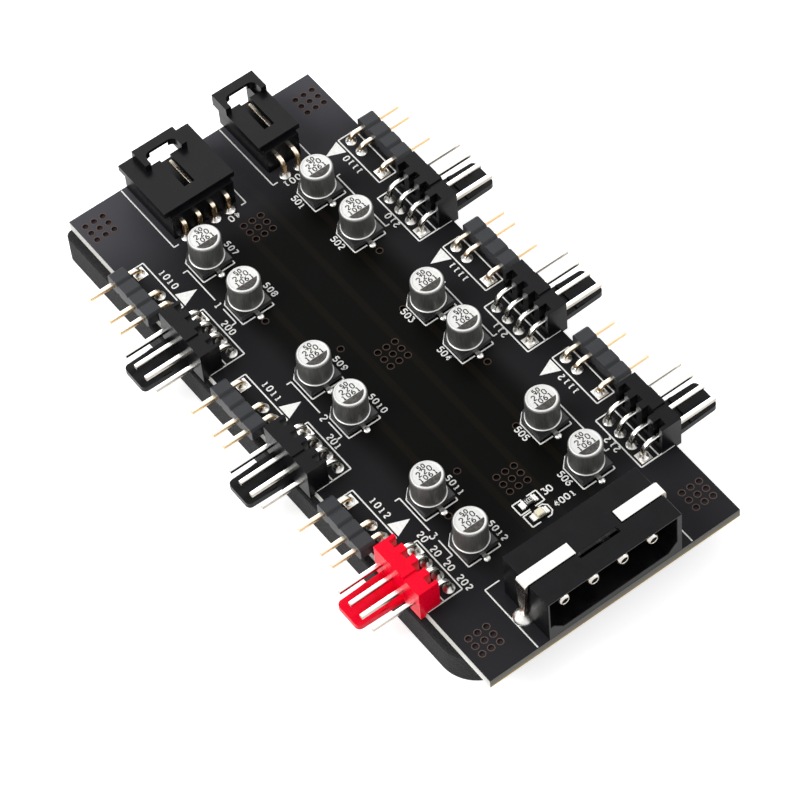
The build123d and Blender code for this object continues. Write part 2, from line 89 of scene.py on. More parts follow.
def board_finish():
    """Satin black mask: nearly no colour of its own, a soft broad gloss, browner where no copper lies below.
    The cut edge is painted pale on the long sides as painted light and darker at the ends as painted shade,
    with a yellow line along the bottom of the ends. The mask is painted paler toward both ends as painted
    sheen."""
    finish, tree, shader = new_finish("solder_mask_on_laminate", {"IOR": 1.5, "Specular IOR Level": 0.04})
    where = add(tree, "ShaderNodeTexCoord").outputs["Object"]
    place = add(tree, "ShaderNodeSeparateXYZ", {}, {"Vector": where}).outputs
    half_gap = 9.5 * MM
    across = add(tree, "ShaderNodeMath", {"operation": "ABSOLUTE"}, {0: place["Y"]})
    copper = add(
        tree, "ShaderNodeMapRange", SMOOTH,
        {"Value": across, "From Min": half_gap, "From Max": half_gap + 4 * MM},
    )
    bands = add(
        tree, "ShaderNodeTexWave", {"wave_type": "BANDS", "bands_direction": "Y"},
        {"Vector": where, "Scale": 0.314 / (5.2 * MM), "Distortion": 0.0},
    ).outputs["Fac"]
    tracks = add(tree, "ShaderNodeMapRange", {}, {"Value": bands, "From Min": 0.86, "From Max": 0.92})
    bare = add(tree, "ShaderNodeMix", COLOURS, {"Factor": tracks, "A": "#070706", "B": "#110e0a"})
    field = add(tree, "ShaderNodeMix", COLOURS, {"Factor": copper, "A": bare, "B": "#1f1f21"})
    # Painted sheen: the mask is painted paler toward both ends, paler still at the low-X end, where the
    # lamps' broad gloss lies.
    along = add(tree, "ShaderNodeMath", {"operation": "ABSOLUTE"}, {0: place["X"]})
    ends = add(
        tree, "ShaderNodeMapRange", SMOOTH,
        {"Value": along, "From Min": PAINTED_SHEEN_FROM * MM, "From Max": 50 * MM},
    )
    lengthwise = add(
        tree, "ShaderNodeMapRange", {}, {"Value": place["X"], "From Min": -20 * MM, "From Max": 20 * MM},
    )
    painted_end_sheen = add(tree, "ShaderNodeMix", COLOURS, {"Factor": lengthwise, "A": "#4a4a4f", "B": "#2a2a2d"})
    mask = add(tree, "ShaderNodeMix", COLOURS, {"Factor": ends, "A": field, "B": painted_end_sheen})
    under = BOARD_TOP - BOARD_THICKNESS
    height = add(
        tree, "ShaderNodeMapRange", {},
        {"Value": place["Z"], "From Min": under * MM, "From Max": BOARD_TOP * MM},
    )
    # Painted light and shade on the cut edge: the long sides are painted pale, palest low down, as if lit;
    # the ends are painted darker grey as if shaded, with a yellow line at the bottom.
    lit_long_edge = add(tree, "ShaderNodeMix", COLOURS, {"Factor": height, "A": "#f4f3ee", "B": "#d2d1cb"})
    shaded_end_edge = add(tree, "ShaderNodeValToRGB", {}, {"Fac": height})
    shaded_end_edge.color_ramp.elements[0].color = linear("#d8b040")
    shaded_end_edge.color_ramp.elements[1].color = linear("#6a6862")
    seam = shaded_end_edge.color_ramp.elements.new(0.24)
    seam.color = linear("#7b7870")
    normal = add(tree, "ShaderNodeNewGeometry").outputs["Normal"]
    facing = add(tree, "ShaderNodeSeparateXYZ", {}, {"Vector": normal}).outputs
    endwise = add(tree, "ShaderNodeMath", {"operation": "ABSOLUTE"}, {0: facing["X"]})
    cut = add(tree, "ShaderNodeMix", COLOURS, {"Factor": endwise, "A": lit_long_edge, "B": shaded_end_edge})
    flat = add(tree, "ShaderNodeMath", {"operation": "ABSOLUTE"}, {0: facing["Z"]})
    colour = add(tree, "ShaderNodeMix", COLOURS, {"Factor": flat, "A": cut, "B": mask})
    cloud = add(tree, "ShaderNodeTexNoise", {}, {"Vector": where, "Scale": 1 / (9 * MM), "Detail": 3.0})
    gloss = add(
        tree, "ShaderNodeMapRange", {},
        {"Value": cloud, "From Min": 0.3, "From Max": 0.7, "To Min": 0.36, "To Max": 0.46},
    )
    grain = add(tree, "ShaderNodeTexNoise", {}, {"Vector": where, "Scale": 1 / (0.35 * MM), "Detail": 2.0})
    relief = add(tree, "ShaderNodeBump", {}, {"Height": grain, "Strength": 0.12, "Distance": 0.02 * MM})
    connect(tree, shader, {"Base Color": colour, "Roughness": gloss, "Normal": relief})
    return finish


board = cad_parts["circuit_board"]
board.data.materials.clear()
board.data.materials.append(board_finish())


# Vias: plated holes that the mask has run into and closed below the top, each with a ring of copper round it.
# They sit in clusters of nine at the corners and along the middle, with a few single ones by the capacitors.
VIA_HOLE = 0.9
VIA_RING = 1.16
VIA_RING_HEIGHT = 0.02
VIA_DEPTH = 0.35
VIA_PITCH = 1.524
VIA_CLUSTERS = ((3.8, 2.9), (4.4, 40.4), (94.6, 3.4), (94.6, 40.4), (18.5, 20.8), (49.0, 22.3), (76.4, 22.3))
VIA_SINGLES = (
    (32.8, 11.7), (43.6, 17.1), (70.6, 17.2), (75.7, 11.8),
    (33.2, 31.8), (43.6, 28.2), (58.6, 31.8), (69.8, 28.2),
)


def at(x, y, z=0.0):
    """Point above the board's top, from its low-X, low-Y corner in millimetres."""
    return Vector((x - BOARD_LENGTH / 2, y - BOARD_WIDTH / 2, BOARD_TOP + z)) * MM


def points_mesh(name, places):
    """A mesh of loose points for a node tree to work on."""
    mesh = bpy.data.meshes.new(name)
    mesh.from_pydata(places, [], [])
    return mesh


def new_tree(name, sizes):
    """An empty geometry tree with a named input for each size."""
    tree = bpy.data.node_groups.new(name, "GeometryNodeTree")
    tree.interface.new_socket("Geometry", in_out="INPUT", socket_type="NodeSocketGeometry")
    tree.interface.new_socket("Geometry", in_out="OUTPUT", socket_type="NodeSocketGeometry")
    for size in sizes:
        tree.interface.new_socket(size, in_out="INPUT", socket_type="NodeSocketFloat")
    return tree, add(tree, "NodeGroupInput").outputs


def end_tree(tree, shape, finish):
    """Close a tree: real geometry, its material, and the output."""
    real = add(tree, "GeometryNodeRealizeInstances", {}, {"Geometry": shape})
    painted = add(tree, "GeometryNodeSetMaterial", {}, {"Geometry": real, "Material": finish})
    add(tree, "NodeGroupOutput", {}, {"Geometry": painted})


def new_piece(name, mesh):
    """A mesh placed in the scene as a piece of its own."""
    piece = bpy.data.objects.new(name, mesh)
    bpy.context.scene.collection.objects.link(piece)
    return piece


def settle(piece, modifier):
    """Keep what a modifier makes of a piece as a plain mesh, and take the modifier off."""
    bpy.context.view_layer.update()
    made = piece.evaluated_get(bpy.context.evaluated_depsgraph_get())
    plain = bpy.data.meshes.new_from_object(made)
    piece.modifiers.remove(modifier)
    piece.data = plain


def grow(name, mesh, tree, sizes):
    """Run a tree on a mesh with its sizes in millimetres, and keep the result as a plain mesh."""
    piece = new_piece(name, mesh)
    modifier = piece.modifiers.new(tree.name, "NODES")
    modifier.node_group = tree
    for item in tree.interface.items_tree:
        if item.in_out == "INPUT" and item.name in sizes:
            modifier[item.identifier] = sizes[item.name] * MM
    settle(piece, modifier)
    return piece


def via_finish():
    """Mask over copper: a brown ring round a dark pit, both painted paler toward the board's ends as painted
    sheen, like the field.
    """
    finish, tree, shader = new_finish("masked_copper_ring", {"IOR": 1.5, "Specular IOR Level": 0.05})
    where = add(tree, "ShaderNodeTexCoord").outputs["Object"]
    place = add(tree, "ShaderNodeSeparateXYZ", {}, {"Vector": where}).outputs
    wear = add(tree, "ShaderNodeTexNoise", {}, {"Vector": where, "Scale": 1 / (0.5 * MM), "Detail": 2.0})
    worn = add(tree, "ShaderNodeMix", COLOURS, {"Factor": wear, "A": "#42342e", "B": "#5a4a43"})
    # Painted sheen: ring and pit are painted paler toward the board's ends.
    along = add(tree, "ShaderNodeMath", {"operation": "ABSOLUTE"}, {0: place["X"]})
    ends = add(
        tree, "ShaderNodeMapRange", SMOOTH,
        {"Value": along, "From Min": PAINTED_SHEEN_FROM * MM, "From Max": 48 * MM},
    )
    ring = add(tree, "ShaderNodeMix", COLOURS, {"Factor": ends, "A": worn, "B": "#65544f"})
    pit = add(tree, "ShaderNodeMix", COLOURS, {"Factor": ends, "A": "#0c0a0a", "B": "#3c3639"})
    top = add(
        tree, "ShaderNodeMapRange", {},
        {"Value": place["Z"], "From Min": (BOARD_TOP - 0.1) * MM, "From Max": BOARD_TOP * MM},
    )
    colour = add(tree, "ShaderNodeMix", COLOURS, {"Factor": top, "A": pit, "B": ring})
    gloss = add(tree, "ShaderNodeMapRange", {}, {"Value": wear, "To Min": 0.3, "To Max": 0.5})
    connect(tree, shader, {"Base Color": colour, "Roughness": gloss})
    return finish


def via_tree(finish):
    """A flat ring with a closed pit in the middle, at each point."""
    tree, size = new_tree("via_rings", ("Hole Diameter", "Ring Diameter", "Ring Height", "Sleeve Depth"))
    hole, outer, depth = size["Hole Diameter"], size["Ring Diameter"], size["Sleeve Depth"]
    both = add(tree, "ShaderNodeMath", {"operation": "ADD"}, {0: hole, 1: outer})
    middle = add(tree, "ShaderNodeMath", {"operation": "DIVIDE"}, {0: both, 1: 4.0})
    path = add(tree, "GeometryNodeCurvePrimitiveCircle", {}, {"Resolution": 20, "Radius": middle})
    rims = add(tree, "ShaderNodeMath", {"operation": "SUBTRACT"}, {0: outer, 1: hole})
    width = add(tree, "ShaderNodeMath", {"operation": "DIVIDE"}, {0: rims, 1: 2.0})
    height = add(tree, "ShaderNodeMath", {"operation": "MULTIPLY"}, {0: size["Ring Height"], 1: 2.0})
    section = add(
        tree, "GeometryNodeCurvePrimitiveQuadrilateral", {"mode": "RECTANGLE"},
        {"Width": width, "Height": height},
    )
    ring = add(
        tree, "GeometryNodeCurveToMesh", {}, {"Curve": path, "Profile Curve": section, "Fill Caps": False},
    )
    radius = add(tree, "ShaderNodeMath", {"operation": "DIVIDE"}, {0: hole, 1: 2.0})
    sleeve = add(
        tree, "GeometryNodeMeshCylinder", {"fill_type": "NONE"},
        {"Vertices": 20, "Radius": radius, "Depth": depth},
    )
    disc = add(tree, "GeometryNodeMeshCircle", {"fill_type": "NGON"}, {"Vertices": 20, "Radius": radius})
    pit = add(tree, "GeometryNodeJoinGeometry")
    for shape, share in ((sleeve, -0.5), (disc, -1.0)):
        low = add(tree, "ShaderNodeMath", {"operation": "MULTIPLY"}, {0: depth, 1: share})
        drop = add(tree, "ShaderNodeCombineXYZ", {}, {"Z": low})
        sunk = add(tree, "GeometryNodeTransform", {}, {"Geometry": shape, "Translation": drop})
        if shape == sleeve:
            sunk = add(tree, "GeometryNodeFlipFaces", {}, {"Mesh": sunk})
        connect(tree, pit, {0: sunk})
    cup = add(tree, "GeometryNodeMergeByDistance", {}, {"Geometry": pit, "Distance": 1e-6})
    via = add(tree, "GeometryNodeJoinGeometry")
    for shape in (ring, cup):
        connect(tree, via, {0: shape})
    copies = add(tree, "GeometryNodeInstanceOnPoints", {}, {"Points": size["Geometry"], "Instance": via})
    end_tree(tree, copies, finish)
    return tree


steps = (-VIA_PITCH, 0.0, VIA_PITCH)
via_places = [at(x + dx, y + dy) for x, y in VIA_CLUSTERS for dx in steps for dy in steps]
via_places += [at(x, y) for x, y in VIA_SINGLES]
vias = grow(
    "via_rings", points_mesh("via_places", via_places), via_tree(via_finish()),
    {
        "Hole Diameter": VIA_HOLE, "Ring Diameter": VIA_RING,
        "Ring Height": VIA_RING_HEIGHT, "Sleeve Depth": VIA_DEPTH,
    },
)
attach(vias, "root")


# Printed legend: white epoxy ink screened on the mask, lines about 0.2 mm wide.
# It outlines every part, points at the first pins and numbers the places with plain figures.
LINE_WIDTH = 0.22
NUMBER_WIDTH = 0.21
INK_THICKNESS = 0.025
CORNER_RADIUS = 0.12
CHANNEL_STARTS = (0.0, 25.4, 50.8)
CAP_X = (18.63, 28.29, 45.11, 53.71, 71.47, 81.13)
CAP_LEFT_Y = 11.65
CAP_RIGHT_Y = 31.65
FIGURES = {
    "0": [
        [
            (0.0, 0.2), (0.0, 0.8), (0.18, 1.0), (0.42, 1.0), (0.6, 0.8), (0.6, 0.2), (0.42, 0.0),
            (0.18, 0.0), (0.0, 0.2),
        ],
    ],
    "1": [[(0.1, 0.8), (0.32, 1.0), (0.32, 0.0)], [(0.12, 0.0), (0.52, 0.0)]],
    "2": [[(0.0, 0.8), (0.16, 1.0), (0.44, 1.0), (0.6, 0.82), (0.6, 0.62), (0.0, 0.0), (0.6, 0.0)]],
    "3": [
        [
            (0.0, 1.0), (0.6, 1.0), (0.26, 0.6), (0.44, 0.6), (0.6, 0.42), (0.6, 0.18), (0.44, 0.0),
            (0.16, 0.0), (0.0, 0.16),
        ],
    ],
    "4": [[(0.45, 0.0), (0.45, 1.0)], [(0.45, 1.0), (0.0, 0.3)], [(0.0, 0.3), (0.62, 0.3)]],
    "5": [
        [
            (0.56, 1.0), (0.05, 1.0), (0.0, 0.55), (0.4, 0.6), (0.6, 0.42), (0.6, 0.18), (0.42, 0.0),
            (0.16, 0.0), (0.0, 0.14),
        ],
    ],
    "6": [
        [
            (0.5, 1.0), (0.2, 0.85), (0.0, 0.45), (0.0, 0.2), (0.16, 0.0), (0.44, 0.0), (0.6, 0.18),
            (0.6, 0.4), (0.44, 0.56), (0.16, 0.56), (0.0, 0.4),
        ],
    ],
    "7": [[(0.0, 1.0), (0.6, 1.0), (0.2, 0.0)]],
    "8": [
        [
            (0.16, 0.54), (0.0, 0.7), (0.0, 0.84), (0.16, 1.0), (0.44, 1.0), (0.6, 0.84), (0.6, 0.7),
            (0.44, 0.54), (0.16, 0.54), (0.0, 0.36), (0.0, 0.16), (0.16, 0.0), (0.44, 0.0),
            (0.6, 0.16), (0.6, 0.36), (0.44, 0.54),
        ],
    ],
    "9": [
        [
            (0.1, 0.0), (0.4, 0.15), (0.6, 0.55), (0.6, 0.8), (0.44, 1.0), (0.16, 1.0), (0.0, 0.82),
            (0.0, 0.6), (0.16, 0.44), (0.44, 0.44), (0.6, 0.6),
        ],
    ],
    " ": [],
}


def number_lines(text, centre, height, advance, turn):
    """Pen strokes of a number about its centre, turned in degrees on the board."""
    angle = math.radians(turn)
    along = Vector((math.cos(angle), math.sin(angle)))
    up = Vector((-along.y, along.x))
    start = -(len(text) - 1) * advance / 2 - 0.3 * height
    lines = []
    for index, figure in enumerate(text):
        low = Vector(centre) + (start + index * advance) * along - 0.5 * height * up
        for stroke in FIGURES[figure]:
            lines.append([low + x * height * along + y * height * up for x, y in stroke])
    return lines


def lines_mesh(name, lines, z):
    """A mesh of edges, one chain for each line, at a height above the board."""
    points = []
    edges = []
    for line in lines:
        first = len(points)
        points += [at(x, y, z) for x, y in line]
        edges += [(first + step, first + step + 1) for step in range(len(line) - 1)]
    mesh = bpy.data.meshes.new(name)
    mesh.from_pydata(points, edges, [])
    return mesh


def ink_finish(name, colour, worn):
    """Screened epoxy ink: matt, a little uneven where it lies thin."""
    finish, tree, shader = new_finish(name, {"Roughness": 0.6, "IOR": 1.5})
    where = add(tree, "ShaderNodeTexCoord").outputs["Object"]
    film = add(tree, "ShaderNodeTexNoise", {}, {"Vector": where, "Scale": 1 / (0.4 * MM), "Detail": 3.0})
    cover = add(tree, "ShaderNodeMapRange", {}, {"Value": film, "From Min": 0.35, "From Max": 0.6})
    shade = add(tree, "ShaderNodeMix", COLOURS, {"Factor": cover, "A": worn, "B": colour})
    connect(tree, shader, {"Base Color": shade})
    return finish


def ink_tree(name, finish):
    """Flat ink lines with rounded corners along chains of edges."""
    tree, size = new_tree(name, ("Line Width", "Ink Thickness", "Corner Radius"))
    path = add(tree, "GeometryNodeMeshToCurve", {}, {"Mesh": size["Geometry"]})
    rounded = add(
        tree, "GeometryNodeFilletCurve", {"mode": "POLY"},
        {"Curve": path, "Count": 3, "Radius": size["Corner Radius"], "Limit Radius": True},
    )
    upright = add(tree, "GeometryNodeSetCurveNormal", {"mode": "Z_UP"}, {"Curve": rounded})
    section = add(
        tree, "GeometryNodeCurvePrimitiveQuadrilateral", {"mode": "RECTANGLE"},
        {"Width": size["Line Width"], "Height": size["Ink Thickness"]},
    )
    band = add(
        tree, "GeometryNodeCurveToMesh", {}, {"Curve": upright, "Profile Curve": section, "Fill Caps": True},
    )
    end_tree(tree, band, finish)
    return tree


legend = []
for start in CHANNEL_STARTS:
    low, high = 13.1 + start, 23.24 + start
    for edge, inward in ((0.0, 1), (BOARD_WIDTH, -1)):
        inner, outer = edge + 4.07 * inward, edge + 1.0 * inward
        legend.append([(low, outer), (low, inner), (high, inner), (high, outer), (low + 0.01, outer)])
    low, high = 25.38 + start, 35.5 + start
    for edge, inward in ((0.0, 1), (BOARD_WIDTH, -1)):
        inner, foot, rim = edge + 6.05 * inward, edge + 2.9 * inward, edge + 0.15 * inward
        legend.append([(low, rim), (low, inner), (high, inner), (high, rim)])
        legend.append([(low, foot), (high, foot)])
    legend.append([(18.3 + start, 7.5), (18.3 + start, 8.3), (25.2 + start, 8.3)])
    legend.append([(27.2 + start, 8.3), (30.35 + start, 8.3), (30.35 + start, 7.3)])
    low, high = 18.28 + start, 30.23 + start
    legend.append([(low, 35.75), (low, 35.13), (high, 35.13), (high, 35.8)])
for x in CAP_X:
    for y in (CAP_LEFT_Y, CAP_RIGHT_Y):
        legend.append([
            (x + 2.95, y - 0.6), (x + 2.95, y - 2.78), (x - 1.55, y - 2.78),
            (x - 2.95, y - 1.4), (x - 2.95, y - 0.6),
        ])
        legend.append([(x + 2.95, y + 0.45), (x + 2.95, y + 2.7), (x + 2.4, y + 2.7)])
        legend.append([(x - 2.95, y + 0.6), (x - 2.95, y + 1.4), (x - 2.2, y + 2.15)])
for low, high in ((9.2, 22.04), (26.95, 34.45)):
    legend.append([(0.15, low), (13.65, low), (13.65, low + 0.85)])
    legend.append([(0.15, high), (13.65, high), (13.65, high - 0.85)])
legend.append([(100.05, 8.3), (88.4, 8.3), (88.4, 10.76)])
legend.append([(100.05, 35.0), (88.4, 35.0), (88.4, 32.5)])
legend.append([(79.97, 21.1), (79.97, 19.5), (82.0, 19.5), (82.0, 21.1)])
legend.append([(79.97, 22.0), (79.97, 23.65), (82.0, 23.65), (82.0, 22.0)])
legend.append([(82.35, 21.0), (82.35, 19.6), (84.55, 19.6), (84.55, 21.0)])
legend.append([(82.35, 22.2), (82.35, 22.9), (82.9, 23.45), (84.0, 23.45), (84.55, 22.9), (84.55, 22.2)])

numbers = []
for index, x in enumerate(CAP_X):
    numbers += number_lines(f"50{index + 7}", (x + 0.45 + 0.3 * (index > 2), CAP_LEFT_Y + 3.9), 0.9, 0.98, 0)
    numbers += number_lines(f"50{index + 1}", (x - 0.1, CAP_RIGHT_Y - 3.65), 0.95, 0.9, 0)
for index, start in enumerate(CHANNEL_STARTS):
    numbers += number_lines(str(index + 1), (26.2 + start, 8.2), 1.1, 1.0, 0)
    numbers += number_lines(f"101{index}", (17.85 + start, 5.3), 0.95, 1.05, 0)
    numbers += number_lines(f"111{index}", (18.1 + start, 38.2), 0.95, 1.02, 180)
    numbers += number_lines(f"21{index}", (30.0 + start, 36.55), 0.95, 1.05, 180)
    wide = start == CHANNEL_STARTS[-1]
    numbers += number_lines("20 20 20 202" if wide else f"20{index}", (30.35 + start, 6.95), 0.95, 1.0, 0)
numbers += number_lines("30", (80.9, 24.9), 1.0, 0.85, 90)
numbers += number_lines("4001", (83.5, 25.9), 0.95, 0.92, 90)
numbers += number_lines("40", (14.75, 19.2), 1.0, 1.1, -90)
numbers += number_lines("1001", (14.75, 30.2), 1.0, 1.05, -90)

white_ink = ink_finish("white_legend_ink", "#fcfcfa", "#f0f0ec")
legend_tree = ink_tree("legend_lines", white_ink)
outlines = grow(
    "legend_outlines", lines_mesh("outline_paths", legend, INK_THICKNESS / 2), legend_tree,
    {"Line Width": LINE_WIDTH, "Ink Thickness": INK_THICKNESS, "Corner Radius": CORNER_RADIUS},
)
figures = grow(
    "legend_numbers", lines_mesh("number_paths", numbers, INK_THICKNESS / 2), legend_tree,
    {"Line Width": NUMBER_WIDTH, "Ink Thickness": INK_THICKNESS, "Corner Radius": CORNER_RADIUS},
)


def mesh_of(name, build, finish=None):
    """The mesh of a finished build, with its material if it has one yet."""
    mesh = bpy.data.meshes.new(name)
    build.to_mesh(mesh)
    build.free()
    if finish:
        mesh.materials.append(finish)
    return mesh


def plates(name, outlines, z, thickness, finish):
    """Flat closed shapes of one thickness, from their outlines on the board."""
    build = bmesh.new()
    for outline in outlines:
        low = [build.verts.new(at(x, y, z)) for x, y in outline]
        high = [build.verts.new(at(x, y, z + thickness)) for x, y in outline]
        build.faces.new(high)
        build.faces.new(list(reversed(low)))
        for index in range(len(outline)):
            after = (index + 1) % len(outline)
            build.faces.new((low[index], low[after], high[after], high[index]))
    bmesh.ops.recalc_face_normals(build, faces=build.faces)
    return new_piece(name, mesh_of(name, build, finish))


arrow_shapes = []
for start in CHANNEL_STARTS:
    arrow_shapes.append([(20.65 + start, 4.42), (23.2 + start, 4.42), (21.93 + start, 7.4)])
    arrow_shapes.append([(13.1 + start, 38.87), (15.6 + start, 38.87), (14.35 + start, 36.0)])
arrows = plates("legend_arrows", arrow_shapes, 0.0, INK_THICKNESS, white_ink)
for printed in (outlines, figures, arrows):
    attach(printed, "root")


# Chip resistor and lamp: a black ceramic chip with tinned ends, and a small lamp under a clear cream resin.
# Both are laid in solder paste by machine and melted on to the board between the channels and the inlet.
CHIP_Y = 21.65
RESISTOR_X = 80.93
LAMP_X = 83.45
CHIP_WIDTH = 1.25
CHIP_LENGTH = 2.0


def rounded_boxes(name, boxes, radius, finish):
    """Boxes between limits on the board, with their edges cut back."""
    build = bmesh.new()
    for low, high in boxes:
        made = bmesh.ops.create_cube(build, size=1.0)["verts"]
        size = at(*high) - at(*low)
        bmesh.ops.scale(build, vec=size, verts=made)
        bmesh.ops.translate(build, vec=(at(*high) + at(*low)) / 2, verts=made)
    return soften(name, mesh_of(name, build, finish), radius)


def soften(name, mesh, radius):
    """Make a piece of a mesh with its sharp edges cut back, as moulds and dies leave them."""
    piece = new_piece(name, mesh)
    bevel = piece.modifiers.new("rounded_edges", "BEVEL")
    bevel.width = radius * MM
    bevel.segments = 1
    bevel.limit_method = "ANGLE"
    bevel.angle_limit = math.radians(40)
    settle(piece, bevel)
    piece.data.shade_flat()
    return piece


def metal_finish(name, bright, dull, rough, blotch, top=None):
    """Plated or soldered metal: its colour and gloss drift a little over the surface.
    Faces that look up can have a paler colour: a painted highlight, where the lamps above light them close to
    white."""
    finish, tree, shader = new_finish(name, {"Metallic": 1.0})
    where = add(tree, "ShaderNodeTexCoord").outputs["Object"]
    drift = add(tree, "ShaderNodeTexNoise", {}, {"Vector": where, "Scale": 1 / (blotch * MM), "Detail": 3.0})
    colour = add(tree, "ShaderNodeMix", COLOURS, {"Factor": drift, "A": dull, "B": bright})
    if top:
        # Painted highlight: faces that look up are painted toward the paler top colour.
        normal = add(tree, "ShaderNodeNewGeometry").outputs["Normal"]
        up = add(tree, "ShaderNodeSeparateXYZ", {}, {"Vector": normal}).outputs["Z"]
        lit = add(tree, "ShaderNodeMapRange", {}, {"Value": up, "From Min": 0.3, "From Max": 0.9})
        colour = add(tree, "ShaderNodeMix", COLOURS, {"Factor": lit, "A": colour, "B": top})
    gloss = add(
        tree, "ShaderNodeMapRange", {},
        {"Value": drift, "From Min": 0.3, "From Max": 0.7, "To Min": rough * 1.3, "To Max": rough * 0.8},
    )
    relief = add(tree, "ShaderNodeBump", {}, {"Height": drift, "Strength": 0.1, "Distance": 0.01 * MM})
    connect(tree, shader, {"Base Color": colour, "Roughness": gloss, "Normal": relief})
    return finish


def chip_finish(name, colour, speck, rough):
    """Ceramic or resin, or painted shade inside a pin's bore: one dull colour with fine specks."""
    finish, tree, shader = new_finish(name, {"Roughness": rough, "IOR": 1.5})
    where = add(tree, "ShaderNodeTexCoord").outputs["Object"]
    grains = add(tree, "ShaderNodeTexNoise", {}, {"Vector": where, "Scale": 1 / (0.15 * MM), "Detail": 2.0})
    shade = add(tree, "ShaderNodeMix", COLOURS, {"Factor": grains, "A": colour, "B": speck})
    connect(tree, shader, {"Base Color": shade})
    return finish


def chip_box(x, near, far, low, high, trim=0.0):
    """Limits of a box across a chip, from its middle, at heights above the board."""
    half = CHIP_WIDTH / 2 - trim
    return (x - half, CHIP_Y + near, low), (x + half, CHIP_Y + far, high)


solder_finish = metal_finish("tin_solder", "#f6f5f2", "#e4e2dc", 0.3, 0.9)
end = CHIP_LENGTH / 2
resistor = rounded_boxes(
    "resistor_body", [chip_box(RESISTOR_X, -0.65, 0.65, 0.03, 0.5, 0.02)], 0.04,
    chip_finish("resistor_glaze", "#141414", "#242426", 0.35),
)
caps_of_chip = rounded_boxes(
    "resistor_ends",
    [chip_box(RESISTOR_X, -end, -0.62, 0.0, 0.48), chip_box(RESISTOR_X, 0.62, end, 0.0, 0.48)],
    0.06, solder_finish,
)
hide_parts("resistor")
marks = number_lines("103", (RESISTOR_X, CHIP_Y), 0.62, 0.42, 90)
resistor_mark = grow(
    "resistor_number", lines_mesh("resistor_paths", marks, 0.505), ink_tree("resistor_lines", white_ink),
    {"Line Width": 0.09, "Ink Thickness": 0.01, "Corner Radius": 0.04},
)
lamp_base = rounded_boxes(
    "lamp_carrier", [chip_box(LAMP_X, -0.7, 0.7, 0.0, 0.35, 0.02)], 0.04,
    chip_finish("lamp_carrier_laminate", "#d9d3bd", "#c9c2a6", 0.5),
)
lamp_ends = rounded_boxes(
    "lamp_ends",
    [chip_box(LAMP_X, -end, -0.68, 0.0, 0.34), chip_box(LAMP_X, 0.68, end, 0.0, 0.34)],
    0.05, solder_finish,
)
lamp_lens = rounded_boxes(
    "lamp_lens", [chip_box(LAMP_X, -0.6, 0.6, 0.33, 0.8, 0.03)], 0.12,
    chip_finish("lamp_cream_resin", "#fbf6e2", "#f1e8c8", 0.25),
)
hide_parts("lamp")
fillets = rounded_boxes(
    "chip_solder",
    [
        ((x - 0.62, CHIP_Y + side * 1.15 - 0.3, 0.0), (x + 0.62, CHIP_Y + side * 1.15 + 0.3, 0.2))
        for x in (RESISTOR_X, LAMP_X) for side in (-1, 1)
    ],
    0.09, solder_finish,
)
for chip_part in (resistor, caps_of_chip, resistor_mark, lamp_base, lamp_ends, lamp_lens, fillets):
    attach(chip_part, "root")


# Capacitors: drawn aluminium cans with a rolled top edge, crimped on a black plastic base with two tabs.
# The negative side is printed dark on top, with three rows of figures; solder runs out along the tabs.
CAN_RADIUS = 2.5
CAN_FOOT = 1.1
CAN_TOP = 5.5
CAN_FACE = CAN_TOP - 0.06
MARK_RADIUS = 1.98
MARK_CHORD = 0.75
TAB_BEAD_OUT = 3.4
CAN_NODES = [f"capacitor_can_{number}" for number in range(1, 13)]
BASE_NODES = [f"capacitor_base_{number}" for number in range(1, 13)]
cap_places = [(x, y) for y in (CAP_RIGHT_Y, CAP_LEFT_Y) for x in CAP_X]


def lathe(name, profile, turns):
    """A turned shape about the Z axis from radius and height pairs in millimetres."""
    build = bmesh.new()
    chain = [build.verts.new((r * MM, 0.0, z * MM)) for r, z in profile]
    edges = [build.edges.new(pair) for pair in zip(chain, chain[1:])]
    bmesh.ops.spin(
        build, geom=chain + edges, cent=(0, 0, 0), axis=(0, 0, 1), angle=math.tau, steps=turns,
        use_merge=True,
    )
    bmesh.ops.remove_doubles(build, verts=build.verts, dist=1e-7)
    bmesh.ops.recalc_face_normals(build, faces=build.faces)
    mesh = mesh_of(name, build)
    mesh.shade_smooth()
    return mesh


def copies_tree(name, finish):
    """The same piece at each point."""
    tree, size = new_tree(name, ())
    tree.interface.new_socket("Piece", in_out="INPUT", socket_type="NodeSocketObject")
    piece = add(tree, "GeometryNodeObjectInfo", {}, {"Object": size["Piece"]}).outputs["Geometry"]
    copies = add(tree, "GeometryNodeInstanceOnPoints", {}, {"Points": size["Geometry"], "Instance": piece})
    end_tree(tree, copies, finish)
    return tree


def copies(name, mesh, places, finish):
    """A piece repeated at places on the board, kept as one plain mesh."""
    pattern = new_piece(name + "_pattern", mesh)
    tree = copies_tree(name, finish)
    piece = new_piece(name, points_mesh(name + "_places", places))
    modifier = piece.modifiers.new(name, "NODES")
    modifier.node_group = tree
    for item in tree.interface.items_tree:
        if item.name == "Piece":
            modifier[item.identifier] = pattern
    settle(piece, modifier)
    bpy.data.objects.remove(pattern)
    return piece


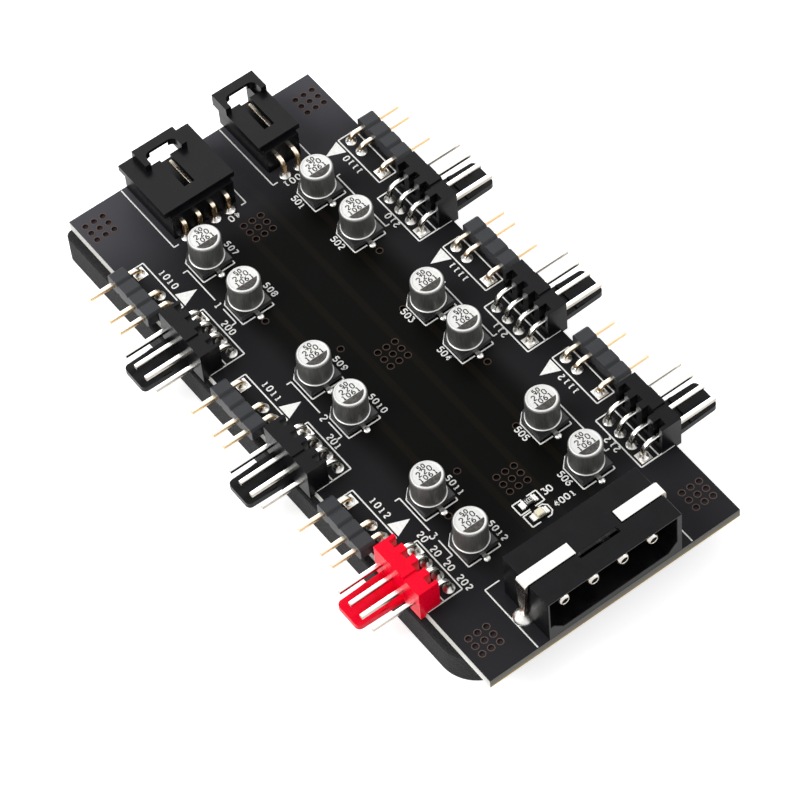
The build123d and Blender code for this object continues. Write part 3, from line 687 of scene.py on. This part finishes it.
def can_finish():
    """Bare drawn aluminium: satin grey with fine upright draw lines, with a near-white band round the foot as
    a painted highlight and faces that look up painted pale as painted light.
    """
    finish, tree, shader = new_finish("drawn_aluminium_can", {"Metallic": 0.85, "Roughness": 0.5})
    where = add(tree, "ShaderNodeTexCoord").outputs["Object"]
    drawn = add(tree, "ShaderNodeMapping", {}, {"Vector": where, "Scale": (1.0, 1.0, 0.05)})
    lines = add(tree, "ShaderNodeTexNoise", {}, {"Vector": drawn, "Scale": 1 / (0.12 * MM), "Detail": 2.0})
    wall = add(tree, "ShaderNodeMix", COLOURS, {"Factor": lines, "A": "#5c5c5a", "B": "#9c9c9a"})
    # Painted highlight: a near-white band round the can's foot.
    ring = BOARD_TOP + CAN_FOOT + 0.15
    height = add(tree, "ShaderNodeSeparateXYZ", {}, {"Vector": where}).outputs["Z"]
    above = add(
        tree, "ShaderNodeMapRange", {},
        {"Value": height, "From Min": ring * MM, "From Max": (ring + 0.05) * MM},
    )
    side = add(tree, "ShaderNodeMix", COLOURS, {"Factor": above, "A": "#f4f4f2", "B": wall})
    # Painted light: faces that look up are painted paler, as lit by the lamps above.
    normal = add(tree, "ShaderNodeNewGeometry").outputs["Normal"]
    up = add(tree, "ShaderNodeSeparateXYZ", {}, {"Vector": normal}).outputs["Z"]
    top = add(tree, "ShaderNodeMapRange", {}, {"Value": up, "From Min": 0.75, "From Max": 0.95})
    colour = add(tree, "ShaderNodeMix", COLOURS, {"Factor": top, "A": side, "B": "#d4d4d2"})
    relief = add(tree, "ShaderNodeBump", {}, {"Height": lines, "Strength": 0.2, "Distance": 0.01 * MM})
    connect(tree, shader, {"Base Color": colour, "Normal": relief})
    return finish


can_profile = [
    (0.0, CAN_FOOT), (CAN_RADIUS, CAN_FOOT), (2.63, CAN_FOOT + 0.03), (2.65, CAN_FOOT + 0.09),
    (2.62, CAN_FOOT + 0.14), (2.52, CAN_FOOT + 0.18), (2.45, CAN_FOOT + 0.24), (2.43, CAN_FOOT + 0.36),
    (2.47, CAN_FOOT + 0.5), (CAN_RADIUS, CAN_FOOT + 0.66),
    (CAN_RADIUS, CAN_TOP - 0.36), (2.47, CAN_TOP - 0.22), (2.39, CAN_TOP - 0.1), (2.28, CAN_TOP - 0.02),
    (2.18, CAN_TOP), (2.08, CAN_TOP - 0.03), (2.02, CAN_FACE), (1.9, CAN_FACE), (0.0, CAN_FACE),
]
cans = copies(
    "capacitor_cans", lathe("can", can_profile, 48), [at(x, y) for x, y in cap_places], can_finish(),
)
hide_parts(*CAN_NODES)
dark_ink = ink_finish("dark_can_ink", "#2a2724", "#4c4844")
segment = []
chord = math.acos(MARK_CHORD / MARK_RADIUS)
sweep = [-chord + 2 * chord * step / 20 for step in range(21)]
for x, y in cap_places:
    arc = [(MARK_RADIUS * math.cos(angle), MARK_RADIUS * math.sin(angle)) for angle in sweep]
    segment.append([(x + dx, y + dy) for dx, dy in arc])
can_bars = plates("capacitor_polarity_marks", segment, CAN_FACE, 0.012, dark_ink)
marks = []
for x, y in cap_places:
    marks += number_lines("50", (x - 1.52, y + 0.1), 0.62, 0.66, 90)
    marks += number_lines("220", (x - 0.68, y), 0.82, 0.9, 90)
    marks += number_lines("1061", (x + 0.24, y), 0.74, 0.8, 90)
can_numbers = grow(
    "capacitor_numbers", lines_mesh("can_paths", marks, CAN_TOP - 0.055), ink_tree("can_lines", dark_ink),
    {"Line Width": 0.17, "Ink Thickness": 0.01, "Corner Radius": 0.06},
)


def moulded_finish(name, colour, pale, rough, grain, sheen=0.5):
    """Moulded plastic: deep colour, satin gloss from a lightly etched mould, a trace of flow marks."""
    finish, tree, shader = new_finish(name, {"IOR": 1.53, "Specular IOR Level": sheen})
    where = add(tree, "ShaderNodeTexCoord").outputs["Object"]
    flow = add(tree, "ShaderNodeTexNoise", {}, {"Vector": where, "Scale": 1 / (2.5 * MM), "Detail": 4.0})
    shade = add(tree, "ShaderNodeMix", COLOURS, {"Factor": flow, "A": colour, "B": pale})
    gloss = add(
        tree, "ShaderNodeMapRange", {},
        {"Value": flow, "From Min": 0.3, "From Max": 0.7, "To Min": rough * 0.85, "To Max": rough * 1.2},
    )
    etch = add(tree, "ShaderNodeTexNoise", {}, {"Vector": where, "Scale": 1 / (grain * MM), "Detail": 2.0})
    relief = add(tree, "ShaderNodeBump", {}, {"Height": etch, "Strength": 0.12, "Distance": 0.012 * MM})
    connect(tree, shader, {"Base Color": shade, "Roughness": gloss, "Normal": relief})
    return finish


def moulded_copy(name, nodes, radius, finish):
    """Copies of moulded CAD nodes in one mesh, merged to whole faces, with their edges cut back."""
    build = bmesh.new()
    for node in nodes:
        build.from_mesh(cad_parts[node].data)
    bmesh.ops.remove_doubles(build, verts=build.verts, dist=1e-6)
    bmesh.ops.dissolve_limit(build, angle_limit=math.radians(1), verts=build.verts, edges=build.edges)
    for face in build.faces:
        face.material_index = 0
    piece = soften(name, mesh_of(name, build, finish), radius)
    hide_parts(*nodes)
    return piece


bases = moulded_copy(
    "capacitor_bases", BASE_NODES, 0.07,
    moulded_finish("base_black_phenolic", "#0b0b0c", "#131314", 0.35, 0.25),
)
tabs = moulded_copy("capacitor_tabs", ["capacitor_terminals"], 0.03, solder_finish)
bead_profile = [
    (0.56, 0.0), (0.54, 0.08), (0.46, 0.18), (0.32, 0.26), (0.14, 0.3), (0.0, 0.31),
]
beads = copies(
    "capacitor_solder", lathe("tab_bead", bead_profile, 20),
    [at(x + side * TAB_BEAD_OUT, y) for x, y in cap_places for side in (-1, 1)], solder_finish,
)
for cap_part in (cans, can_bars, can_numbers, bases, tabs, beads):
    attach(cap_part, "root")


# Lighting headers: notched strips of black glass-filled nylon with three gold-plated square pins each.
# The pins are pressed through the strip, bent down behind it and soldered, one of them in a square pad.
NAMES = [f"{side}_{number}" for side in ("left", "right") for number in (1, 2, 3)]
PIN_SIZE = 0.64
PIN_PITCH = 2.54
PIN_CORNER = 0.06
TIP_SHARE = 0.44
TIP_TAPER = 0.5
LEAD_BOTTOM = -1.5
ROUND_PAD = 1.8
SQUARE_PAD = 1.9
SQUARE_MOUND = 1.6
PAD_THICKNESS = 0.05
MOUND_BASE = 0.04
JOINT_TOP_RADIUS = 0.3
JOINT_SKIN = 0.03
RGB_FIRST_X = 18.17
RGB_ROW = 2.6
RGB_PIN_Z = 1.25
RGB_TIP = 6.0
RGB_STEPS = (-1.5 * PIN_PITCH, -0.5 * PIN_PITCH, 1.5 * PIN_PITCH)


def side_place(side, x, out, z):
    """Point by a long edge: distance out from the edge, on the low-Y or high-Y side."""
    return at(x, -out, z) if side == "left" else at(x, BOARD_WIDTH + out, z)


def pin_paths(name, paths):
    """A mesh of bent pins: chains of edges with a thickness at each point."""
    points = []
    edges = []
    widths = []
    for path in paths:
        first = len(points)
        points += [place for place, width in path]
        widths += [width for place, width in path]
        edges += [(first + step, first + step + 1) for step in range(len(path) - 1)]
    mesh = bpy.data.meshes.new(name)
    mesh.from_pydata(points, edges, [])
    width = mesh.attributes.new("radius", "FLOAT", "POINT")
    width.data.foreach_set("value", widths)
    return mesh


def pin_tree(name, finish):
    """Square wire with softened corners, bent round a radius along each chain."""
    tree, size = new_tree(name, ("Pin Size", "Bend Radius", "Corner Radius"))
    path = add(tree, "GeometryNodeMeshToCurve", {}, {"Mesh": size["Geometry"]})
    bent = add(
        tree, "GeometryNodeFilletCurve", {"mode": "POLY"},
        {"Curve": path, "Count": 8, "Radius": size["Bend Radius"], "Limit Radius": True},
    )
    upright = add(tree, "GeometryNodeSetCurveNormal", {"mode": "MINIMUM_TWIST"}, {"Curve": bent})
    square = add(
        tree, "GeometryNodeCurvePrimitiveQuadrilateral", {"mode": "RECTANGLE"},
        {"Width": size["Pin Size"], "Height": size["Pin Size"]},
    )
    section = add(
        tree, "GeometryNodeFilletCurve", {"mode": "POLY"},
        {"Curve": square, "Count": 2, "Radius": size["Corner Radius"], "Limit Radius": True},
    )
    wire = add(
        tree, "GeometryNodeCurveToMesh", {}, {"Curve": upright, "Profile Curve": section, "Fill Caps": True},
    )
    end_tree(tree, add(tree, "GeometryNodeSetShadeSmooth", {}, {"Geometry": wire}), finish)
    return tree


def pins(name, paths, bend, finish, size=PIN_SIZE):
    """Bent square pins along paths, with crisp long edges."""
    tree = pin_tree(name, finish)
    piece = grow(
        name, pin_paths(name + "_paths", paths), tree,
        {"Pin Size": size, "Bend Radius": bend, "Corner Radius": PIN_CORNER},
    )
    piece.data.set_sharp_from_angle(angle=math.radians(50))
    return piece


def joint_mesh(name, pad, height):
    """A solder joint: a low cone with hollow flanks that climbs the lead."""
    rim = pad / 2
    profile = [(rim, 0.0), (rim, JOINT_SKIN)]
    for step in range(1, 7):
        share = step / 6
        radius = rim - (rim - JOINT_TOP_RADIUS) * share
        profile.append((radius, JOINT_SKIN + (height - JOINT_SKIN) * share ** 1.5))
    profile.append((0.0, height))
    return lathe(name, profile, 24)


black_nylon = moulded_finish("glass_filled_nylon_black", "#36373a", "#3f4043", 0.35, 0.3, 0.14)
rgb_strips = moulded_copy("lighting_strips", [f"rgb_header_{name}" for name in NAMES], 0.07, black_nylon)
# Gold's last colour is a painted highlight on faces that look up.
gold = metal_finish("gold_flash_on_brass", "#f2d5a6", "#e0b57a", 0.28, 1.5, "#fff4e2")


def channel_pins(first_x, row, pin_z, tip, steps):
    """Paths of the pins of six headers, three on each long side, with their round joints and square pads."""
    paths = []
    joints = []
    pads = []
    for start in CHANNEL_STARTS:
        for side, turned in (("left", -1), ("right", 1)):
            for step in steps:
                x = first_x + start + step * turned
                paths.append([
                    (side_place(side, x, tip, pin_z), TIP_SHARE),
                    (side_place(side, x, tip - TIP_TAPER, pin_z), 1.0),
                    (side_place(side, x, -row, pin_z), 1.0),
                    (side_place(side, x, -row, LEAD_BOTTOM), 1.0),
                ])
                if step == steps[-1]:
                    pads.append((x, row if side == "left" else BOARD_WIDTH - row))
                else:
                    joints.append(side_place(side, x, -row, 0.0))
    return paths, joints, pads


def header_solder(name, joints, pads, height, mound):
    """The solder of all headers of a kind: round joints, tinned square pads and the mounds on those."""
    rings = copies(f"{name}_solder", joint_mesh(f"{name}_joint", ROUND_PAD, height), joints, solder_finish)
    half = SQUARE_PAD / 2
    boxes = [((x - half, y - half, 0.0), (x + half, y + half, PAD_THICKNESS)) for x, y in pads]
    squares = rounded_boxes(f"{name}_square_pads", boxes, 0.02, solder_finish)
    mounds = copies(
        f"{name}_square_solder", joint_mesh(f"{name}_square_joint", SQUARE_MOUND, mound),
        [at(x, y, MOUND_BASE) for x, y in pads], solder_finish,
    )
    return rings, squares, mounds


rgb_paths, rgb_joints, rgb_pads = channel_pins(RGB_FIRST_X, RGB_ROW, RGB_PIN_Z, RGB_TIP, RGB_STEPS)
rgb_pins = pins("lighting_pins", rgb_paths, 0.75, gold)
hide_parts(*[f"rgb_pins_{name}" for name in NAMES])
rgb_solder = header_solder("lighting", rgb_joints, rgb_pads, 0.6, 0.45)
for rgb_part in (rgb_strips, rgb_pins, *rgb_solder):
    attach(rgb_part, "root")


# Fan headers: slotted nylon blocks with a tongue that locks the plug; one of the six is moulded in red.
# Four tinned pins go through each block, bend down in its slots and are soldered behind it.
FAN_FIRST_X = 30.43
FAN_ROW = 4.7
FAN_PIN_Z = 2.5
FAN_TIP = 8.1
FAN_STEPS = [(index - 1.5) * PIN_PITCH for index in range(4)]
RED_FAN = "left_3"
matt_nylon = moulded_finish("plain_nylon_black", "#0b0b0d", "#111114", 0.3, 0.3, 0.14)
red_nylon = moulded_finish("nylon_red", "#f00026", "#f6002e", 0.28, 0.3, 0.1)
black_fans = moulded_copy(
    "fan_blocks", [f"fan_header_{name}" for name in NAMES if name != RED_FAN], 0.09, matt_nylon,
)
red_fan = moulded_copy("fan_block_red", [f"fan_header_{RED_FAN}"], 0.09, red_nylon)
# Tin's last colour is a painted highlight on faces that look up.
tin = metal_finish("tin_plate_on_brass", "#c9c2b6", "#a89f92", 0.2, 1.5, "#fffefb")
fan_paths, fan_joints, fan_pads = channel_pins(FAN_FIRST_X, FAN_ROW, FAN_PIN_Z, FAN_TIP, FAN_STEPS)
fan_pins = pins("fan_pins", fan_paths, 1.4, tin)
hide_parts(*[f"fan_pins_{name}" for name in NAMES])
fan_solder = header_solder("fan", fan_joints, fan_pads, 0.75, 0.6)
for fan_part in (black_fans, red_fan, fan_pins, *fan_solder):
    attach(fan_part, "root")


# Input sockets: two shrouded nylon sockets with a latch bridge, for the cables that bring in the signals.
# Their gold-plated pins come out of the back wall and turn straight down into the board.
INPUT_ROW = 13.2
INPUT_PIN_Z = 3.1
INPUT_WAYS = ((4, 15.6, 2.55, 0.5), (2, 30.7, 1.45, 1.25))
sockets = moulded_copy("input_sockets", ["input_socket_4_way", "input_socket_2_way"], 0.1, matt_nylon)
input_leads = []
input_joints = []
for count, y, tip, bend in INPUT_WAYS:
    paths = []
    for index in range(count):
        across = y + (index - (count - 1) / 2) * PIN_PITCH
        paths.append([
            (at(tip, across, INPUT_PIN_Z), TIP_SHARE),
            (at(tip + TIP_TAPER, across, INPUT_PIN_Z), 1.0),
            (at(INPUT_ROW, across, INPUT_PIN_Z), 1.0),
            (at(INPUT_ROW, across, LEAD_BOTTOM), 1.0),
        ])
        input_joints.append(at(INPUT_ROW, across))
    lead = pins(f"input_pins_of_{count}", paths, bend, gold)
    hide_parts(f"input_pins_{count}_way")
    input_leads.append(lead)
input_solder = copies("input_solder", joint_mesh("input_joint", ROUND_PAD, 0.7), input_joints, solder_finish)
for input_part in (sockets, *input_leads, input_solder):
    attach(input_part, "root")


# Power inlet: a black nylon shroud with four round tinned pins, held down by two bent tinned straps.
# The straps lie in a channel over the roof and their narrowed feet are soldered into the board.
POWER_STRAP_X = 95.05
POWER_STRAP_Y = (9.75, 33.55)
POWER_TIP_X = 98.95
POWER_WALL_X = 92.6
POWER_TAIL_X = 88.8
POWER_REACH = POWER_TIP_X - POWER_WALL_X
POWER_PIN_Z = 4.5
POWER_TAIL_SIZE = 1.2
TAIL_PAD = 2.6
POWER_PITCH = 5.08
DOME_RADIUS = 1.55
DOME_HEIGHT = 1.05
inlet = moulded_copy("power_shroud", ["power_socket"], 0.12, matt_nylon)
power_rows = [BOARD_WIDTH / 2 + (index - 1.5) * POWER_PITCH for index in range(4)]
tube_profile = [
    (0.0, -0.7), (0.46, -0.62), (0.5, -0.5), (0.5, -0.08), (0.56, 0.0), (0.68, -0.02), (0.84, -0.16),
    (0.96, -0.4), (1.03, -0.75), (1.05, -1.1), (1.05, -POWER_REACH), (0.0, -POWER_REACH),
]
tip_places = [at(POWER_TIP_X, y, POWER_PIN_Z) for y in power_rows]
lying = Matrix.Rotation(math.radians(90), 4, "Y")
tube = lathe("power_tube", tube_profile, 32)
tube.transform(lying)
power_pins = copies("power_pins", tube, tip_places, tin)
power_tails = pins(
    "power_tails",
    [
        [
            (at(POWER_WALL_X + 0.6, y, POWER_PIN_Z), 1.0), (at(POWER_TAIL_X, y, POWER_PIN_Z), 1.0),
            (at(POWER_TAIL_X, y, LEAD_BOTTOM), 1.0),
        ]
        for y in power_rows
    ],
    1.2, tin, POWER_TAIL_SIZE,
)
# Painted shade: a dark cup set inside each pin's bore, standing for the shade in the hollow tip.
bore_profile = [(0.0, -0.6), (0.44, -0.56), (0.49, -0.45), (0.49, -0.06)]
bore = lathe("power_bore", bore_profile, 32)
bore.transform(lying)
power_bores = copies("power_bores", bore, tip_places, chip_finish("painted_bore_shade", "#14100e", "#221b17", 0.6))
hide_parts("power_pins")
straps = moulded_copy("power_straps", ["power_straps"], 0.05, tin)
sweep = [step * math.pi / 16 for step in range(9)]
dome_profile = [(DOME_RADIUS * math.cos(angle), DOME_HEIGHT * math.sin(angle)) for angle in sweep]
power_solder = copies(
    "power_solder", lathe("strap_joint", dome_profile, 24),
    [at(POWER_STRAP_X, y) for y in POWER_STRAP_Y], solder_finish,
)
tail_solder = copies(
    "power_tail_solder", joint_mesh("tail_joint", TAIL_PAD, 0.9),
    [at(POWER_TAIL_X, y) for y in power_rows], solder_finish,
)
for power_part in (inlet, power_pins, power_bores, power_tails, straps, power_solder, tail_solder):
    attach(power_part, "root")


# Foam pad: a die-cut sheet of black closed-cell foam under the board, stuck on with a film of adhesive.
# Its cut sides show small cells that catch the light as grey specks.
def foam_finish():
    """Closed-cell foam: dull black, with cut cells about 0.4 mm across that show as pale specks and pits."""
    finish, tree, shader = new_finish("closed_cell_foam", {"Roughness": 0.85, "IOR": 1.45})
    where = add(tree, "ShaderNodeTexCoord").outputs["Object"]
    cells = add(
        tree, "ShaderNodeTexVoronoi", {"feature": "F1"}, {"Vector": where, "Scale": 1 / (0.38 * MM)},
    )
    walls = add(tree, "ShaderNodeMapRange", {}, {"Value": cells, "From Min": 0.35, "From Max": 0.75})
    patch = add(tree, "ShaderNodeTexNoise", {}, {"Vector": where, "Scale": 1 / (1.4 * MM), "Detail": 3.0})
    specks = add(tree, "ShaderNodeMath", {"operation": "MULTIPLY"}, {0: walls, 1: patch})
    colour = add(tree, "ShaderNodeMix", COLOURS, {"Factor": specks, "A": "#070708", "B": "#242427"})
    relief = add(tree, "ShaderNodeBump", {}, {"Height": cells, "Strength": 0.6, "Distance": 0.12 * MM})
    connect(tree, shader, {"Base Color": colour, "Normal": relief})
    return finish


foam = moulded_copy("foam_sheet", ["foam_pad"], 0.25, foam_finish())
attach(foam, "root")


# Studio: a plain white floor, a pale room and three soft lamps, seen by the camera of the photograph.
# The floor shows its white to the camera and to mirrors, and keeps the part's soft shadow.
FLOOR_LIFT = 0.62
FLOOR_HALF = 4.0
FLOOR_GAP = 0.05
ROOM_LEVEL = 0.58


def looked_at(tree):
    """One where a camera, a mirror or glass looks, and nought for light that only spreads."""
    path = add(tree, "ShaderNodeLightPath").outputs
    seen = add(
        tree, "ShaderNodeMath", {"operation": "MAXIMUM"},
        {0: path["Is Camera Ray"], 1: path["Is Glossy Ray"]},
    )
    return add(tree, "ShaderNodeMath", {"operation": "MAXIMUM"}, {0: seen, 1: path["Is Transmission Ray"]})


def floor_finish():
    """White paper sweep, lifted toward white where a camera or a mirror looks at it, and clear from below."""
    finish, tree, shader = new_finish(
        "white_paper_floor",
        {
            "Base Color": "#f2f2f2", "Roughness": 0.9, "Specular IOR Level": 0.0,
            "Emission Color": "#ffffff",
        },
    )
    lift = add(tree, "ShaderNodeMath", {"operation": "MULTIPLY"}, {0: looked_at(tree), 1: FLOOR_LIFT})
    connect(tree, shader, {"Emission Strength": lift})
    below = add(tree, "ShaderNodeNewGeometry").outputs["Backfacing"]
    clear = add(tree, "ShaderNodeBsdfTransparent")
    either = add(tree, "ShaderNodeMixShader", {}, {"Fac": below, 1: shader, 2: clear})
    connect(tree, tree.nodes["Material Output"], {"Surface": either})
    return finish


floor_mesh = bpy.data.meshes.new("floor")
corners = ((-1, -1), (1, -1), (1, 1), (-1, 1))
floor_mesh.from_pydata(
    [(x * FLOOR_HALF, y * FLOOR_HALF, -FLOOR_GAP * MM) for x, y in corners], [], [(0, 1, 2, 3)],
)
floor_mesh.materials.append(floor_finish())
floor = new_piece("floor", floor_mesh)

room = bpy.data.worlds.new("pale_room")
room.use_nodes = True
bpy.context.scene.world = room
sky = room.node_tree
level = add(sky, "ShaderNodeMapRange", {}, {"Value": looked_at(sky), "To Min": ROOM_LEVEL, "To Max": 1.0})
connect(sky, sky.nodes["Background"], {"Color": "#ffffff", "Strength": level})


def soft_lamp(name, place, size, watts):
    """A square softbox that faces the part."""
    light = bpy.data.lights.new(name, "AREA")
    light.shape = "SQUARE"
    light.size = size
    light.energy = watts
    lamp = bpy.data.objects.new(name, light)
    lamp.location = place
    lamp.rotation_euler = (-Vector(place)).to_track_quat("-Z", "Y").to_euler()
    bpy.context.scene.collection.objects.link(lamp)


soft_lamp("key_softbox", (-0.25, -0.6, 0.7), 0.5, 5.0)
soft_lamp("back_softbox", (-0.7, 0.25, 0.55), 0.5, 1.5)
soft_lamp("side_softbox", (0.55, 0.6, 0.6), 0.5, 1.0)

lens = bpy.data.cameras.new("camera")
lens.sensor_width = 36.0
lens.lens = 179.97
lens.clip_start = 0.01
lens.clip_end = 20.0
camera = bpy.data.objects.new("camera", lens)
right = Vector((0.601052, 0.796757, -0.062561))
up = Vector((-0.634054, 0.523035, 0.569569))
back = Vector((0.48653, -0.302674, 0.819559))
turn = Matrix((right, up, back)).transposed()
camera.matrix_world = Matrix.Translation(Vector((278.79, -173.132, 466.926)) * MM) @ turn.to_4x4()
bpy.context.scene.collection.objects.link(camera)
bpy.context.scene.camera = camera
bpy.context.scene.view_settings.view_transform = "Standard"
